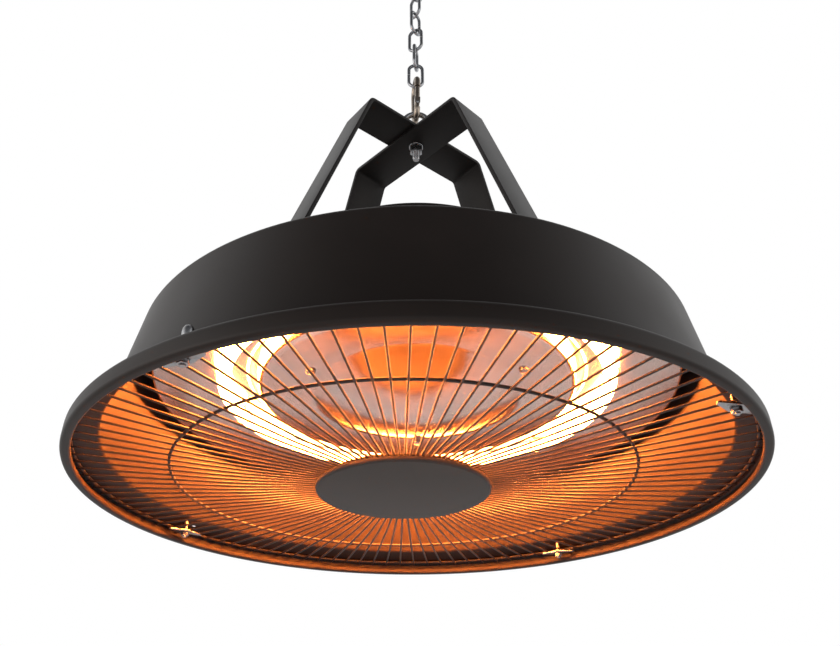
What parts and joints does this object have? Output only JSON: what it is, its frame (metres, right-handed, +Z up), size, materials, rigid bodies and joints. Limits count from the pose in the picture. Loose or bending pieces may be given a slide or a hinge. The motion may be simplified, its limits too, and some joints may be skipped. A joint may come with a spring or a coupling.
{
  "type": "hanging patio heater",
  "caption": "Infrared heater in a round spun shade, hung by crossed flat straps, an eye bolt, a snap hook and a chain, with a ring lamp behind a wire guard.",
  "frame": {"origin": "middle of the ceiling plate's upper face, over the chain", "axes": "+Z up out of the ceiling face; -Y is the side the picture was taken from; +X is the picture's right"},
  "size_m": [0.56, 0.56, 0.7281],
  "materials": {
    "shade_paint": "matte black powder coat",
    "bracket_paint": "satin black powder coat",
    "zinc": "bright zinc plate",
    "hook_steel": "polished steel",
    "reflector_metal": "polished",
    "guard_enamel": "satin black enamel on wire",
    "hub_paint": "satin black paint",
    "quartz": "clear quartz tube",
    "element": "glowing filament",
    "ceramic": "unglazed white ceramic",
    "holder_steel": "bare spring steel",
    "black_plastic": "black moulded plastic",
    "rubber": "black rubber",
    "lead_sleeve": "woven heat-proof sleeve"
  },
  "bodies": {
    "ceiling_fitting": {"ceiling_plate": "zinc", "ceiling_eye": "zinc"},
    "link_1": {"chain_link_1": "zinc"},
    "link_2": {"chain_link_2": "zinc"},
    "link_3": {"chain_link_3": "zinc"},
    "link_4": {"chain_link_4": "zinc"},
    "link_5": {"chain_link_5": "zinc"},
    "link_6": {"chain_link_6": "zinc"},
    "hook": {"snap_hook_body": "hook_steel"},
    "gate": {"snap_hook_gate": "hook_steel", "gate_pin": "hook_steel"},
    "heater": {"bolt_nut": "zinc", "bolt_washer": "zinc", "cable_gland": "black_plastic", "clip_nuts": "zinc", "clip_screws": "zinc", "clip_washers": "zinc", "cover_screws": "zinc", "crown": "shade_paint", "crown_rivets": "zinc", "deck_grommets": "rubber", "deck_screws": "zinc", "eye_bolt": "zinc", "foot_nuts": "zinc", "foot_screws": "zinc", "gland_locknut": "black_plastic", "guard": "guard_enamel", "hub_cap": "hub_paint", "lamp_bushes": "ceramic", "lamp_caps": "ceramic", "lamp_filament": "element", "lamp_holders": "holder_steel", "lamp_lead_live": "lead_sleeve", "lamp_lead_neutral": "lead_sleeve", "lamp_supports": "holder_steel", "lamp_tube": "quartz", "reflector": "reflector_metal", "reflector_screws": "zinc", "reflector_standoffs": "zinc", "shade": "shade_paint", "strap_lower": "bracket_paint", "strap_upper": "bracket_paint", "terminal_block": "ceramic", "terminal_cover": "shade_paint"},
    "clip_1": {"clip_plate_1": "zinc"},
    "clip_2": {"clip_plate_2": "zinc"},
    "clip_3": {"clip_plate_3": "zinc"},
    "clip_4": {"clip_plate_4": "zinc"}
  },
  "joints": [
    {"name": "link_1_swing", "type": "hinge", "parent": "ceiling_fitting", "child": "link_1", "pos_m": [0, 0, -0.038], "axis": [0.2588, -0.9659, 0], "range_deg": [-60, 60]},
    {"name": "link_2_swing", "type": "hinge", "parent": "link_1", "child": "link_2", "pos_m": [0, 0, -0.06935], "axis": [0.887, 0.4617, 0], "range_deg": [-60, 60]},
    {"name": "link_3_swing", "type": "hinge", "parent": "link_2", "child": "link_3", "pos_m": [0, 0, -0.1017], "axis": [-0.6428, 0.766, 0], "range_deg": [-60, 60]},
    {"name": "link_4_swing", "type": "hinge", "parent": "link_3", "child": "link_4", "pos_m": [0, 0, -0.13405], "axis": [-0.6088, -0.7934, 0], "range_deg": [-60, 60]},
    {"name": "link_5_swing", "type": "hinge", "parent": "link_4", "child": "link_5", "pos_m": [0, 0, -0.1664], "axis": [0.9063, -0.4226, 0], "range_deg": [-60, 60]},
    {"name": "link_6_swing", "type": "hinge", "parent": "link_5", "child": "link_6", "pos_m": [0, 0, -0.19875], "axis": [0.2164, 0.9763, 0], "range_deg": [-60, 60]},
    {"name": "hook_swing", "type": "hinge", "parent": "link_6", "child": "hook", "pos_m": [0, 0, -0.2311], "axis": [-1, 0, 0], "range_deg": [-45, 45]},
    {"name": "heater_swing", "type": "hinge", "parent": "hook", "child": "heater", "pos_m": [0, 0, -0.28435], "axis": [0.1564, -0.9877, 0], "range_deg": [-45, 45]},
    {"name": "gate_open", "type": "hinge", "parent": "hook", "child": "gate", "pos_m": [0.00157, -0.00991, -0.26979], "axis": [-0.9877, -0.1564, 0], "range_deg": [0, 35], "stiffness_Nm_per_rad": 0.15, "springref_deg": -20.05},
    {"name": "clip_1_turn", "type": "hinge", "parent": "heater", "child": "clip_1", "pos_m": [0.15218, 0.21573, -0.72], "axis": [0, 0, 1], "range_deg": [-61, 29]},
    {"name": "clip_2_turn", "type": "hinge", "parent": "heater", "child": "clip_2", "pos_m": [-0.23045, 0.12879, -0.72], "axis": [0, 0, 1], "range_deg": [-28, 62]},
    {"name": "clip_3_turn", "type": "hinge", "parent": "heater", "child": "clip_3", "pos_m": [-0.13912, -0.22437, -0.72], "axis": [0, 0, 1], "range_deg": [-49, 41]},
    {"name": "clip_4_turn", "type": "hinge", "parent": "heater", "child": "clip_4", "pos_m": [0.21599, -0.1518, -0.72], "axis": [0, 0, 1], "range_deg": [-18, 72]}
  ]
}
